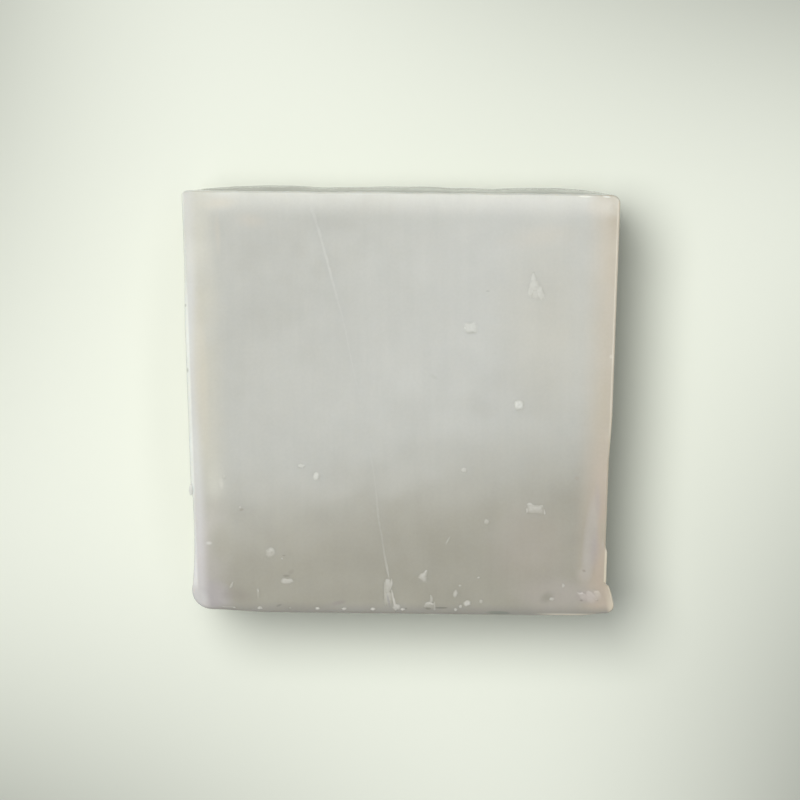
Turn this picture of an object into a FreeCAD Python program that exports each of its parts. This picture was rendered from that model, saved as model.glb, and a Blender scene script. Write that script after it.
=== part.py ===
import FreeCAD, Part

"""A hand-cut bar of soap, one slice of a poured loaf, lying on one of its two cut faces.

The soap was poured into a loaf mould with sloping walls and cut across with a wire, so the bar is one
solid. In plan its +Y side is the poured surface, which set with a low crown and slow waves, and its -Y
side is the mould floor. The +Z face is the cut face that shows. It carries the ridge that the wire
dragged, the tear where the wire came out, a pit, and crumbs that stuck while the soap was soft.
Sizes are in millimetres. The origin is under the middle of the bar, on the face that it lies on.
"""

import math
import os
from collections import namedtuple

from FreeCAD import Placement, Rotation, Vector

# Slice
THICKNESS = 25.0  # between the two cut faces
POURED_WIDTH = 70.2  # across the bar at its poured edge
HEIGHT = 67.9  # from the mould floor to the poured edge, at the right-hand side
SIDE_DRAFT_DEG = 1.9  # slope of each mould wall
FLOOR_RISE = 0.8  # how much the mould-floor edge climbs from right to left
POURED_RISE = 0.7  # how much the poured edge climbs from right to left

# Poured surface
CROWN_RISE = 1.1  # height of the crown over the poured edge, halfway through the slice
CROWN_FALL_POWER = 6  # how late the crown falls away towards the side walls
WAVE_HEIGHT = 0.12  # half the height of the waves that run along the poured surface
WAVE_LENGTH = 23.0
WAVE_PHASE = 0.9  # radians, where the waves start

# Corners in plan, and the rims of the cut faces
POURED_LEFT_RADIUS = 0.9
POURED_RIGHT_RADIUS = 2.2
FLOOR_LEFT_RADIUS = 3.9
FLOOR_RIGHT_RADIUS = 1.6
RIM_RADIUS = 0.5

# Toe that the cutter pressed outwards at the lower right corner, before the corner is rounded
TOE_LENGTH = 7.7
TOE_REACH = 2.7

# Swelling of the side wall over the lower left corner, before the corner is rounded
SWELL_LENGTH = 13.0
SWELL_REACH = 1.3

# Nick in the right-hand rim
NICK_Y = 41.6  # from the mould floor
NICK_RADIUS = 0.9
NICK_DEPTH = 0.35

# Ridge that the wire dragged down the cut face, from the poured edge to the tear
RIDGE_TOP_X = -14.5
RIDGE_MIDDLE_X = -6.7
RIDGE_FOOT_X = -2.1
RIDGE_TOP_GAP = 2.6  # from the poured edge down to the ridge's start
RIDGE_WIDTH = 0.4
RIDGE_HEIGHT = 0.15

# Tear where the wire came out: a broad flap and a thin one, standing up beside a gouge
TEAR_LENGTH = 4.6
TEAR_EDGE_GAP = 0.9  # from the mould-floor edge up to the flaps' ends
FLAP_WIDTH = 1.2
THIN_FLAP_WIDTH = 0.5
THIN_FLAP_LEAN = 0.7  # how far the thin flap's foot leans to the right
FLAP_HEIGHT = 0.45
GOUGE_WIDTH = 0.7  # at the mould-floor edge
GOUGE_DEPTH = 0.5  # at the mould-floor edge
TEAR_TIP = 0.06  # width and height of a flap or the gouge where it starts

# Pit in the cut face, from the bar's middle along X and from the mould floor along Y
PIT_X = -25.6
PIT_Y = 16.9
PIT_RADIUS = 0.6
PIT_DEPTH = 0.35

# Crumbs stuck to the cut face: x from the bar's middle and y from the mould floor, length, width, the
# length's turn, corners, and how much narrower one end is than the other
Crumb = namedtuple("Crumb", "x y length width turn_deg corners taper")
CRUMB_HEIGHT = 0.35
CRUMB_TOP_SHARE = 0.55  # size of a crumb's top next to its foot
CRUMBS = (
    Crumb(21.7, 52.7, 4.1, 2.1, 105.0, 10, 0.7),
    Crumb(10.9, 46.0, 1.9, 1.8, 20.0, 10, 0.0),
    Crumb(19.0, 33.6, 1.8, 1.7, 40.0, 9, 0.1),
    Crumb(-16.2, 24.0, 1.0, 0.5, -5.0, 6, 0.0),
    Crumb(-13.7, 22.2, 1.4, 1.1, 80.0, 8, 0.1),
    Crumb(10.2, 23.1, 1.2, 1.1, 0.0, 7, 0.0),
    Crumb(-28.6, 19.2, 1.3, 0.7, 80.0, 6, 0.2),
    Crumb(21.8, 17.0, 3.1, 1.4, -4.0, 4, 0.1),
    Crumb(14.0, 14.8, 1.1, 0.9, 30.0, 6, 0.2),
    Crumb(7.6, 11.9, 1.7, 0.5, 62.0, 6, 0.0),
    Crumb(-21.1, 10.0, 1.6, 1.5, 10.0, 9, 0.0),
    Crumb(-18.3, 5.5, 1.8, 0.8, -6.0, 4, 0.1),
    Crumb(3.6, 6.1, 1.1, 1.0, -5.0, 3, 0.0),
    Crumb(8.9, 3.7, 1.4, 0.8, 85.0, 7, 0.3),
    Crumb(15.0, 3.8, 1.1, 0.9, 0.0, 6, 0.0),
    Crumb(-23.1, 3.5, 1.5, 0.5, 90.0, 6, 0.0),
    Crumb(4.5, 2.8, 1.8, 0.7, 68.0, 6, 0.4),
    Crumb(5.4, 2.6, 1.4, 0.6, 118.0, 6, 0.4),
    Crumb(10.6, 2.3, 1.4, 1.0, 10.0, 7, 0.1),
    Crumb(12.9, 2.4, 0.8, 0.7, 0.0, 5, 0.0),
    Crumb(24.4, 2.8, 1.0, 0.8, 20.0, 6, 0.0),
)

# Rows of small crumbs along the rim at the mould floor: first crumb along X, step, number, radius
EdgeRow = namedtuple("EdgeRow", "first_x step count radius")
EDGE_ROWS = (
    EdgeRow(-24.9, 2.4, 4, 0.3),
    EdgeRow(-13.6, 4.55, 4, 0.42),
)
EDGE_ROW_GAP = 0.6  # from the mould-floor edge in to the crumbs' middles
EDGE_ROW_SINK = 0.2  # from the cut face down to the crumbs' middles

OVERRUN = 5.0  # how far a cutting tool runs past the bar
SAME_HEIGHT = 1e-6  # how close two heights count as level
ROOT = 0.3  # how deep a crumb, ridge or flap is rooted in the face


def poured_edge_y(x):
    """The poured edge's place along Y at x, with the right end of the mould floor at y 0."""
    return HEIGHT + POURED_RISE * (0.5 - x / POURED_WIDTH)


def crown_height(x, z):
    """How far the poured surface stands over the poured edge at x and z."""
    across = max(0.0, 1.0 - abs(2.0 * x / POURED_WIDTH) ** CROWN_FALL_POWER)
    through = 1.0 - (2.0 * z / THICKNESS - 1.0) ** 2
    wave = WAVE_HEIGHT * math.sin(2.0 * math.pi * x / WAVE_LENGTH + WAVE_PHASE)
    return (CROWN_RISE * across + wave) * through


def floor_width():
    """The bar's width at the mould floor, with no toe."""
    return POURED_WIDTH - 2.0 * HEIGHT * math.tan(math.radians(SIDE_DRAFT_DEG))


def side_x(y):
    """The distance from the bar's middle to a straight mould wall at y."""
    return floor_width() / 2.0 + y * math.tan(math.radians(SIDE_DRAFT_DEG))


def swung_side(sign, foot_y, length, reach):
    """Three points of a side that starts along the mould wall and swings out by its reach at its foot."""
    top = Vector(sign * side_x(foot_y + length), foot_y + length, 0)
    # A side that swings out evenly is out by a quarter of its reach halfway down.
    middle_y = foot_y + length / 2.0
    middle = Vector(sign * (side_x(middle_y) + reach / 4.0), middle_y, 0)
    foot = Vector(sign * (side_x(foot_y) + reach), foot_y, 0)
    return top, middle, foot


def slice_outline():
    """The bar's outline in plan, with sharp corners, the toe and the swelling, up to well over the crown."""
    over = HEIGHT + POURED_RISE + CROWN_RISE + WAVE_HEIGHT + OVERRUN
    over_left = Vector(-side_x(over), over, 0)
    over_right = Vector(side_x(over), over, 0)
    swell = swung_side(-1.0, FLOOR_RISE, SWELL_LENGTH, SWELL_REACH)
    toe = swung_side(1.0, 0.0, TOE_LENGTH, TOE_REACH)
    edges = [
        Part.Arc(swell[2], swell[1], swell[0]).toShape(),
        Part.LineSegment(swell[0], over_left).toShape(),
        Part.LineSegment(over_left, over_right).toShape(),
        Part.LineSegment(over_right, toe[0]).toShape(),
        Part.Arc(*toe).toShape(),
        Part.LineSegment(toe[2], swell[2]).toShape(),
    ]
    return Part.Wire(edges)


def poured_surface_cutter():
    """The solid over the poured surface, which is one smooth sheet through a net of its own heights."""
    steps_across = 12
    steps_through = 6
    reach = POURED_WIDTH / 2.0 + OVERRUN
    net = []
    for i in range(steps_across + 1):
        x = -reach + 2.0 * reach * i / steps_across
        row = []
        for j in range(steps_through + 1):
            z = -OVERRUN + (THICKNESS + 2.0 * OVERRUN) * j / steps_through
            row.append(Vector(x, poured_edge_y(x) + crown_height(x, z), z))
        net.append(row)
    sheet = Part.BSplineSurface()
    sheet.interpolate(net)
    lift = CROWN_RISE + WAVE_HEIGHT + POURED_RISE + 2.0 * OVERRUN
    return sheet.toShape().extrude(Vector(0, lift, 0))


def rounded_slice():
    """The plain slice, with its corners rounded in plan and the rims of both cut faces eased."""
    block = Part.Face(slice_outline()).extrude(Vector(0, 0, THICKNESS))
    block = block.cut(poured_surface_cutter())
    radii = {
        (-1, 1): POURED_LEFT_RADIUS,
        (1, 1): POURED_RIGHT_RADIUS,
        (-1, -1): FLOOR_LEFT_RADIUS,
        (1, -1): FLOOR_RIGHT_RADIUS,
    }
    for side, radius in radii.items():
        block = block.makeFillet(radius, [corner_edge(block, side)])
    rims = [edge for edge in block.Edges if lies_in_cut_face(edge)]
    return block.makeFillet(RIM_RADIUS, rims)


def corner_edge(block, side):
    """The edge that runs through the slice at one corner, furthest out on the given side."""
    through = [edge for edge in block.Edges if edge.BoundBox.ZLength > THICKNESS / 2.0]
    return max(through, key=lambda edge: side[0] * edge.BoundBox.Center.x + side[1] * edge.BoundBox.Center.y)


def lies_in_cut_face(edge):
    """Whether an edge lies in one of the two cut faces."""
    heights = [vertex.Z for vertex in edge.Vertexes] + [edge.CenterOfMass.z]
    low = all(abs(z) < SAME_HEIGHT for z in heights)
    high = all(abs(z - THICKNESS) < SAME_HEIGHT for z in heights)
    return low or high


def floor_edge_y(x):
    """The mould-floor edge's place along Y at x."""
    return FLOOR_RISE * (0.5 - x / floor_width())


def crumb_solid(crumb):
    """A low crumb with sloping sides, rooted in the cut face."""
    def ring(share, z):
        # The sides, and not the corners, reach the crumb's length and width.
        reach = share / (2.0 * math.cos(math.pi / crumb.corners))
        points = []
        for k in range(crumb.corners):
            turn = 2.0 * math.pi * (k + 0.5) / crumb.corners
            along = reach * crumb.length * math.cos(turn)
            across = reach * crumb.width * math.sin(turn) * (1.0 - crumb.taper * math.cos(turn))
            points.append(Vector(along, across, z))
        return Part.makePolygon(points + points[:1])

    rings = [ring(1.0, -ROOT), ring(1.0, 0.0), ring(CRUMB_TOP_SHARE, CRUMB_HEIGHT)]
    solid = Part.makeLoft(rings, True, True)
    turn = Rotation(Vector(0, 0, 1), crumb.turn_deg)
    solid.Placement = Placement(Vector(crumb.x, crumb.y, THICKNESS), turn)
    return solid


def edge_crumbs():
    """The small round crumbs that sit in rows along the rim at the mould floor."""
    crumbs = []
    for row in EDGE_ROWS:
        for k in range(row.count):
            x = row.first_x + k * row.step
            centre = Vector(x, floor_edge_y(x) + EDGE_ROW_GAP, THICKNESS - EDGE_ROW_SINK)
            crumbs.append(Part.makeSphere(row.radius, centre))
    return crumbs


def tear_top_y():
    """Where the tear starts along Y."""
    return floor_edge_y(RIDGE_FOOT_X) + TEAR_EDGE_GAP + TEAR_LENGTH


def wire_ridge():
    """The raised line that the wire dragged, bowed to the right on its way down."""
    top_y = poured_edge_y(RIDGE_TOP_X) - RIDGE_TOP_GAP
    foot_y = tear_top_y()
    middle_y = (top_y + foot_y) / 2.0
    half = Vector(RIDGE_WIDTH / 2.0, 0, 0)
    top = Vector(RIDGE_TOP_X, top_y, THICKNESS - ROOT)
    middle = Vector(RIDGE_MIDDLE_X, middle_y, THICKNESS - ROOT)
    foot = Vector(RIDGE_FOOT_X, foot_y, THICKNESS - ROOT)
    left = Part.Arc(top - half, middle - half, foot - half).toShape()
    right = Part.Arc(top + half, middle + half, foot + half).toShape()
    ends = [
        Part.LineSegment(top - half, top + half).toShape(),
        Part.LineSegment(foot - half, foot + half).toShape(),
    ]
    outline = Part.Wire(Part.sortEdges([left, right] + ends)[0])
    return Part.Face(outline).extrude(Vector(0, 0, ROOT + RIDGE_HEIGHT))


def flap(foot_x, width, lean):
    """A flap of torn soap: a wedge that starts at nothing and grows towards the mould floor."""
    top_y = tear_top_y()
    foot_y = top_y - TEAR_LENGTH
    tip_x = foot_x - lean
    return Part.makeWedge(
        foot_x - width / 2.0, foot_y, THICKNESS - ROOT,
        THICKNESS - ROOT, tip_x - TEAR_TIP / 2.0,
        foot_x + width / 2.0, top_y, THICKNESS + FLAP_HEIGHT,
        THICKNESS + TEAR_TIP, tip_x + TEAR_TIP / 2.0,
    )


def tear_gouge():
    """The V-shaped groove between the flaps, which starts at nothing and is deepest at the edge."""
    x = RIDGE_FOOT_X + (FLAP_WIDTH + GOUGE_WIDTH) / 2.0
    top_y = tear_top_y()
    length = TEAR_LENGTH + TEAR_EDGE_GAP

    def section(y):
        grown = max((top_y - y) / length, TEAR_TIP)
        half = GOUGE_WIDTH / 2.0 * grown
        return Part.makePolygon([
            Vector(x - half, y, THICKNESS + OVERRUN),
            Vector(x - half, y, THICKNESS),
            Vector(x, y, THICKNESS - GOUGE_DEPTH * grown),
            Vector(x + half, y, THICKNESS),
            Vector(x + half, y, THICKNESS + OVERRUN),
            Vector(x - half, y, THICKNESS + OVERRUN),
        ])

    return Part.makeLoft([section(top_y), section(-OVERRUN)], True, True)


def pit():
    """The small round pit in the cut face."""
    centre = Vector(PIT_X, PIT_Y, THICKNESS + PIT_RADIUS - PIT_DEPTH)
    return Part.makeSphere(PIT_RADIUS, centre)


def rim_nick():
    """The small scoop out of the right-hand rim."""
    x = side_x(NICK_Y)
    centre = Vector(x + NICK_RADIUS - NICK_DEPTH, NICK_Y, THICKNESS + NICK_RADIUS - NICK_DEPTH)
    return Part.makeSphere(NICK_RADIUS, centre)


def soap_bar():
    """The whole bar as one solid, moved so that the origin is under the middle of its box."""
    bar = rounded_slice()
    thin_flap_x = RIDGE_FOOT_X + FLAP_WIDTH / 2.0 + GOUGE_WIDTH + THIN_FLAP_WIDTH / 2.0
    raised = [
        wire_ridge(),
        flap(RIDGE_FOOT_X, FLAP_WIDTH, 0.0),
        flap(thin_flap_x, THIN_FLAP_WIDTH, THIN_FLAP_LEAN),
    ]
    raised += [crumb_solid(crumb) for crumb in CRUMBS]
    raised += edge_crumbs()
    bar = bar.fuse(raised)
    bar = bar.cut([tear_gouge(), rim_nick(), pit()]).removeSplitter()
    box = bar.optimalBoundingBox()
    bar.translate(Vector(-box.Center.x, -box.Center.y, -box.ZMin))
    return bar


def main():
    os.makedirs("parts", exist_ok=True)
    bar = soap_bar()
    bar.exportStep("parts/soap_bar.step")
    box = bar.optimalBoundingBox()
    print("soap_bar:", len(bar.Solids), "solid, valid", bar.isValid(), "volume", round(bar.Volume), "mm3")
    print("box", [round(v, 3) for v in (box.XMin, box.XMax, box.YMin, box.YMax, box.ZMin, box.ZMax)])


main()
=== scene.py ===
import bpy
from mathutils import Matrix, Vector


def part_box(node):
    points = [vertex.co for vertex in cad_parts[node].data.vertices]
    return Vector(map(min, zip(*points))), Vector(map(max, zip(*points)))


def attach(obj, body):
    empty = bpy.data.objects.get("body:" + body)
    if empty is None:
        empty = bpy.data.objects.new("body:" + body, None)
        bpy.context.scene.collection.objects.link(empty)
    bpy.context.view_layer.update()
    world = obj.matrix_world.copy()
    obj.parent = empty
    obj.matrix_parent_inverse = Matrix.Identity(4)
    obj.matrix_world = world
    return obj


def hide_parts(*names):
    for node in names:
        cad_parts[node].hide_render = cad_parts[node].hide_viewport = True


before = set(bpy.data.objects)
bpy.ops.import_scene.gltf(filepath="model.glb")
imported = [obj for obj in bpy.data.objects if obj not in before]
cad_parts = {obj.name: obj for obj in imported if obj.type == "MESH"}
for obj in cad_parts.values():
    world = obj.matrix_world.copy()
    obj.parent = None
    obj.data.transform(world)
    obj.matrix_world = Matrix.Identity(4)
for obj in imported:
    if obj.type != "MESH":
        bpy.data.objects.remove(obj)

"""A hand-cut bar of soap lying on one of its two cut faces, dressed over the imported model.

Lengths are in millimetres until a mesh is finished, when MM turns them into metres. The frame is the
part's own: the origin is under the middle of the bar, +Z points up through the slice, +Y towards the
surface that set open in the mould and -Y towards the mould floor.
"""

import logging
import math
from dataclasses import dataclass, field
from enum import Enum

import bmesh
import bpy
from mathutils import Vector, noise

MM = 0.001
UP = Vector((0.0, 0.0, 1.0))
NODE = "soap_bar"
BODY = "root"

# Name of the number that the marks' meshes hold for each point: how dry and pale the soap is.
DRYNESS = "dryness"
# How far the rim of a mark lies under the face, in millimetres.
MARK_SINK = 0.008
# A mark is pressed from a ball of radius 1. Its points beyond this, on one side, become the buried half.
BURIED = -0.001
# How many lumps apart along each axis two patterns are read whose seeds differ by one.
SEED_STEPS = (1.0, 2.3, 5.1)
# How much a crumb's seed grows for each millimetre up the face.
SEED_PER_Y = 1.7
# The colour inputs and the colour output of Blender's mix node, by number.
MIX_FIRST = 6
MIX_SECOND = 7
MIX_RESULT = 2

Value = bpy.types.NodeSocket
Screen = tuple[float, float, float]
Pair = tuple[Screen, Screen]
Linear = tuple[float, float, float, float]

log = logging.getLogger("soap")


def linear(red: float, green: float, blue: float) -> Linear:
    """Turns a screen colour into the linear colour that shaders take.

    Args:
        red: Red on the screen, 0 to 255.
        green: Green on the screen, 0 to 255.
        blue: Blue on the screen, 0 to 255.

    Returns:
        The linear colour with full alpha.
    """
    def channel(value: float) -> float:
        """Turns one channel from screen to linear."""
        share = value / 255.0
        return share / 12.92 if share <= 0.04045 else ((share + 0.055) / 1.055) ** 2.4

    return (channel(red), channel(green), channel(blue), 1.0)


def smooth(value: float) -> float:
    """Eases a value from 0 to 1 with level ends."""
    t = min(1.0, max(0.0, value))
    return t * t * (3.0 - 2.0 * t)


def lumpy(point: Vector, size: float, seed: float) -> float:
    """Gives smooth noise from about -1 to 1.

    Args:
        point: Where the noise is read, in millimetres.
        size: Size of the lumps, in millimetres.
        seed: Number that picks one pattern of lumps.

    Returns:
        The noise there.
    """
    return noise.noise(point / size + Vector([step * seed for step in SEED_STEPS]))


@dataclass(frozen=True)
class Lumps:
    """A pattern of smooth lumps: their size in millimetres, the pattern's seed and their strength."""

    size: float
    seed: float
    strength: float

    def at(self, point: Vector) -> float:
        """Gives the lumps' height at a point."""
        return self.strength * lumpy(point, self.size, self.seed)


@dataclass(frozen=True)
class Stretch:
    """A stretch of a side, eased at both ends: where it starts and ends, and how long each end eases."""

    start: float
    start_ease: float
    end: float
    end_ease: float

    def share(self, place: float) -> float:
        """How much of the stretch there is at a place, 0 to 1."""
        return smooth((place - self.start) / self.start_ease) * smooth((self.end - place) / self.end_ease)


def finish_mesh(bm: bmesh.types.BMesh, name: str) -> bpy.types.Object:
    """Turns a bmesh in millimetres into an object in metres, shaded smooth.

    Args:
        bm: The mesh, which is freed here.
        name: The piece's name.

    Returns:
        The object, at the origin, with its place in its mesh.
    """
    bmesh.ops.recalc_face_normals(bm, faces=bm.faces)
    bmesh.ops.scale(bm, vec=(MM, MM, MM), verts=bm.verts)
    for face in bm.faces:
        face.smooth = True
    mesh = bpy.data.meshes.new(name)
    bm.to_mesh(mesh)
    bm.free()
    piece = bpy.data.objects.new(name, mesh)
    bpy.context.scene.collection.objects.link(piece)
    return piece


class Socket(Enum):
    """Names of the shader inputs that the finishes set."""

    COLOUR = "Base Color"
    ROUGHNESS = "Roughness"
    IOR = "IOR"
    SUBSURFACE = "Subsurface Weight"
    SUBSURFACE_RADIUS = "Subsurface Radius"
    SUBSURFACE_SCALE = "Subsurface Scale"
    NORMAL = "Normal"


@dataclass(frozen=True)
class Fade:
    """A soft change over a distance: low at the start and high at the end, both in millimetres."""

    start: float
    end: float
    low: float = 0.0
    high: float = 1.0


@dataclass(frozen=True)
class Grain:
    """A noise pattern: the size of its grains in millimetres, its finer layers and how they lie."""

    size: float
    detail: float
    stretch: tuple[float, float, float] = (1.0, 1.0, 1.0)
    turn_deg: float = 0.0
    shift: float = 0.0


@dataclass(frozen=True)
class Cloud:
    """A noise pattern eased from low, where the noise is at the start, to high, where it is at the end."""

    grain: Grain
    start: float
    end: float
    low: float = 0.0
    high: float = 1.0


@dataclass(frozen=True)
class Relief:
    """A bumped noise pattern, with its height in millimetres."""

    grain: Grain
    strength: float
    height: float


@dataclass
class Recipe:
    """A material under construction: its node tree, its shader and the object coordinates it reads."""

    name: str
    material: bpy.types.Material = field(init=False)
    tree: bpy.types.NodeTree = field(init=False)
    shader: bpy.types.Node = field(init=False)
    place: Value = field(init=False)
    axes: bpy.types.Node = field(init=False)

    def __post_init__(self) -> None:
        """Makes the material with its shader and coordinates."""
        self.material = bpy.data.materials.new(self.name)
        self.material.use_nodes = True
        self.tree = self.material.node_tree
        self.shader = self.tree.nodes["Principled BSDF"]
        self.place = self.add("ShaderNodeTexCoord").outputs["Object"]
        self.axes = self.add("ShaderNodeSeparateXYZ")
        self.tree.links.new(self.place, self.axes.inputs[0])

    def add(self, kind: str, **settings: object) -> bpy.types.Node:
        """Adds a node and sets its properties.

        Args:
            kind: The node's type.
            settings: Its properties.

        Returns:
            The node.
        """
        node = self.tree.nodes.new(kind)
        for key, value in settings.items():
            setattr(node, key, value)
        return node

    def feed(self, target: Value, value: object) -> None:
        """Joins a socket to a target, or sets the target to a plain value.

        Args:
            target: The input that is fed.
            value: A socket or a plain value.
        """
        if isinstance(value, bpy.types.NodeSocket):
            self.tree.links.new(value, target)
        else:
            target.default_value = value

    def maths(self, operation: str, first: object, second: object = 0.0) -> Value:
        """Works out one sum.

        Args:
            operation: The kind of sum.
            first: Number or socket.
            second: Number or socket.

        Returns:
            The result.
        """
        node = self.add("ShaderNodeMath", operation=operation)
        self.feed(node.inputs[0], first)
        self.feed(node.inputs[1], second)
        return node.outputs[0]

    def times(self, first: object, *others: object) -> Value:
        """Multiplies values, one after another.

        Args:
            first: Number or socket.
            others: Numbers or sockets.

        Returns:
            The product.
        """
        for other in others:
            first = self.maths("MULTIPLY", first, other)
        return first

    def plus(self, first: object, *others: object) -> Value:
        """Adds values, one after another.

        Args:
            first: Number or socket.
            others: Numbers or sockets.

        Returns:
            The sum.
        """
        for other in others:
            first = self.maths("ADD", first, other)
        return first

    def attribute(self, name: str) -> Value:
        """Reads a number that the mesh holds for each of its points."""
        return self.add("ShaderNodeAttribute", attribute_name=name).outputs["Fac"]

    def ramp(self, value: object, start: float, end: float, low: float = 0.0, high: float = 1.0) -> Value:
        """Eases a value from low at start to high at end.

        Args:
            value: The socket that is read.
            start: Value at which the result is low.
            end: Value at which the result is high.
            low: Result before the start.
            high: Result past the end.

        Returns:
            The eased result.
        """
        node = self.add("ShaderNodeMapRange", interpolation_type="SMOOTHSTEP")
        self.feed(node.inputs["Value"], value)
        for label, number in zip(("From Min", "From Max", "To Min", "To Max"), (start, end, low, high)):
            node.inputs[label].default_value = number
        return node.outputs[0]

    def fade(self, distance: Value, fade: Fade) -> Value:
        """Eases a distance by a fade."""
        return self.ramp(distance, fade.start * MM, fade.end * MM, fade.low, fade.high)

    def grain(self, grain: Grain) -> Value:
        """Gives a noise pattern.

        Args:
            grain: The pattern's settings.

        Returns:
            The noise, from 0 to 1.
        """
        mapping = self.add("ShaderNodeMapping")
        self.feed(mapping.inputs["Vector"], self.place)
        mapping.inputs["Location"].default_value = (grain.shift, grain.shift, 0.0)
        mapping.inputs["Rotation"].default_value = (0.0, 0.0, math.radians(grain.turn_deg))
        mapping.inputs["Scale"].default_value = [1.0 / part for part in grain.stretch]
        pattern = self.add("ShaderNodeTexNoise")
        self.feed(pattern.inputs["Vector"], mapping.outputs[0])
        pattern.inputs["Scale"].default_value = 1.0 / (grain.size * MM)
        pattern.inputs["Detail"].default_value = grain.detail
        return pattern.outputs["Fac"]

    def cloud(self, cloud: Cloud) -> Value:
        """Gives a noise pattern eased between two levels."""
        return self.ramp(self.grain(cloud.grain), cloud.start, cloud.end, cloud.low, cloud.high)

    def mix(self, share: object, first: object, second: object, blend: str = "MIX") -> Value:
        """Mixes two colours.

        Args:
            share: How much of the second colour, 0 to 1.
            first: Colour or socket.
            second: Colour or socket.
            blend: How the second colour is laid on the first.

        Returns:
            The mixed colour.
        """
        node = self.add("ShaderNodeMix", data_type="RGBA", blend_type=blend)
        self.feed(node.inputs["Factor"], share)
        self.feed(node.inputs[MIX_FIRST], first)
        self.feed(node.inputs[MIX_SECOND], second)
        return node.outputs[MIX_RESULT]

    def patch(self, x: float, y: float, length: float, width: float, turn_deg: float = 0.0,
              core: float = 0.4) -> Value:
        """Gives a soft oval patch, seen from above.

        Args:
            x: Middle of the patch along X in millimetres.
            y: Middle of the patch along Y in millimetres.
            length: Whole length in millimetres.
            width: Whole width in millimetres.
            turn_deg: Turn of the length from the X axis.
            core: Share of the patch that is at full strength.

        Returns:
            1 in the patch, falling to 0 at its edge.
        """
        mapping = self.add("ShaderNodeMapping", vector_type="TEXTURE")
        self.feed(mapping.inputs["Vector"], self.place)
        mapping.inputs["Location"].default_value = (x * MM, y * MM, 0.0)
        mapping.inputs["Rotation"].default_value = (0.0, 0.0, math.radians(turn_deg))
        mapping.inputs["Scale"].default_value = (length * MM / 2.0, width * MM / 2.0, 1.0)
        reach = self.add("ShaderNodeVectorMath", operation="LENGTH")
        self.feed(reach.inputs[0], mapping.outputs[0])
        return self.ramp(reach.outputs["Value"], 1.0, core)

    def bump(self, relief: Relief, below: Value | None) -> Value:
        """Bumps the normal by a noise pattern.

        Args:
            relief: The pattern's settings.
            below: The bumped normal that this one is laid over, if there is one.

        Returns:
            The bumped normal.
        """
        node = self.add("ShaderNodeBump")
        node.inputs["Strength"].default_value = relief.strength
        node.inputs["Distance"].default_value = relief.height * MM
        self.feed(node.inputs["Height"], self.grain(relief.grain))
        if below is not None:
            self.feed(node.inputs["Normal"], below)
        return node.outputs[0]

    def set(self, socket: Socket, value: object) -> None:
        """Sets or joins one input of the shader."""
        self.feed(self.shader.inputs[socket.value], value)


@dataclass(frozen=True)
class Stain:
    """A soft oval patch of another tone on the upper cut face, in millimetres and degrees."""

    x: float
    y: float
    length: float
    width: float
    turn_deg: float
    colour: Screen
    strength: float
    core: float = 0.2


@dataclass(frozen=True)
class Edge:
    """An edge of the upper cut face: how far out it lies at the middle, on which side, and its slant."""

    reach: float
    sign: float
    slope: float


@dataclass(frozen=True)
class Toe:
    """The toe that is pressed out at the lower right corner, in millimetres."""

    length: float = 5.2
    reach: float = 1.65
    power: float = 0.5


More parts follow.
